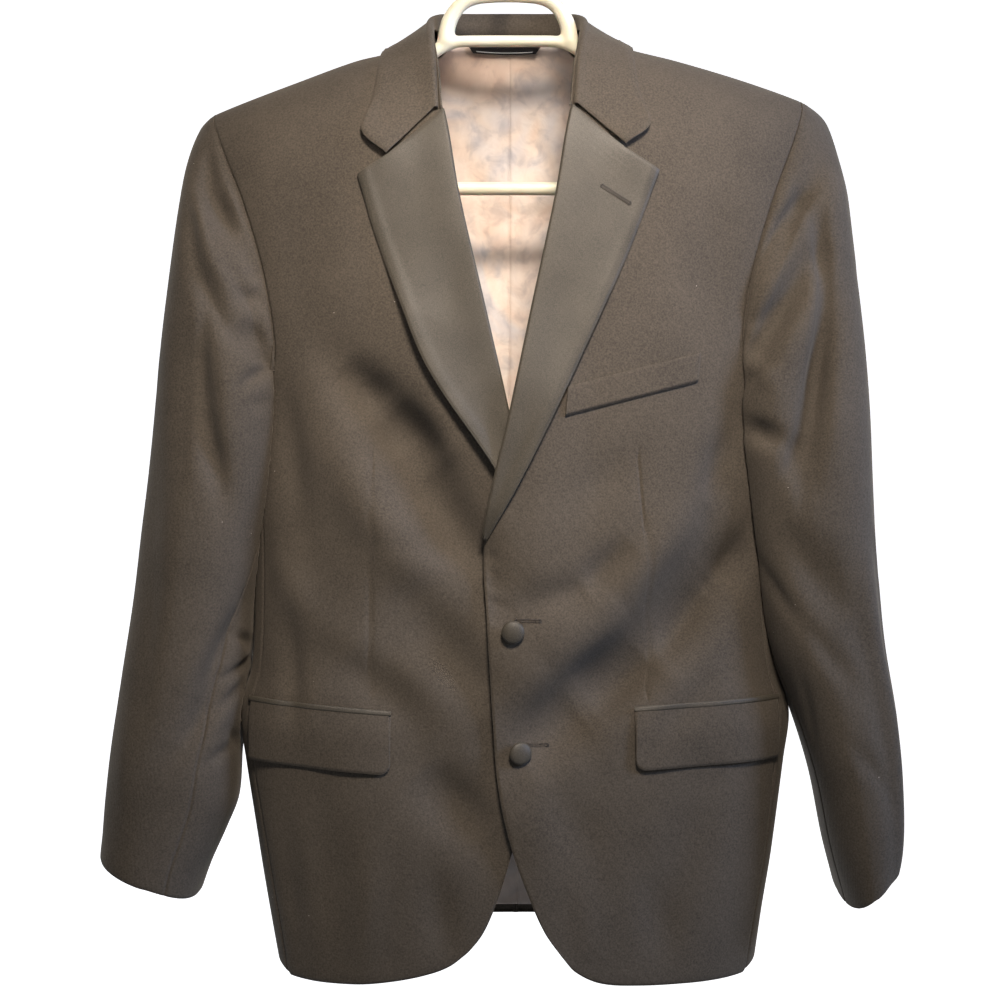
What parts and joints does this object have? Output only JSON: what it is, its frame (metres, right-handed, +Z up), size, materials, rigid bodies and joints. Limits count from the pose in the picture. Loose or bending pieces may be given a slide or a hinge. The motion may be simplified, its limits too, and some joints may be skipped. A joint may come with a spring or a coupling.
{
  "type": "dinner jacket on a hanger",
  "caption": "Single-breasted dinner jacket with notched satin lapels, breast welt and flap pockets, buttoned, hung on a moulded plastic hanger with a plain hook.",
  "frame": {"origin": "under the crown of the hanger's hook, where a rail carries it", "axes": "+Z up, -Y to the front of the jacket, +X to the wearer's left"},
  "size_m": [0.6524, 0.161, 0.8976],
  "materials": {
    "wool": "matt fine twill",
    "satin": "soft satin",
    "lining": "satin lining",
    "label": "woven satin",
    "plastic": "moulded"
  },
  "bodies": {
    "root": {"front_left": "wool", "front_right": "wool", "side_left": "wool", "side_right": "wool", "back_left": "wool", "back_right": "wool", "top_sleeve_left": "wool", "top_sleeve_right": "wool", "under_sleeve_left": "wool", "under_sleeve_right": "wool", "lapel_left": "satin", "lapel_right": "satin", "jet_left": "satin", "jet_right": "satin", "flap_left": "wool", "flap_right": "wool", "lining_left": "lining", "lining_right": "lining", "collar": "wool", "breast_welt": "wool", "label": "label", "button_upper": "satin", "button_lower": "satin", "hanger_frame": "plastic", "hanger_hook": "plastic"}
  },
  "joints": []
}
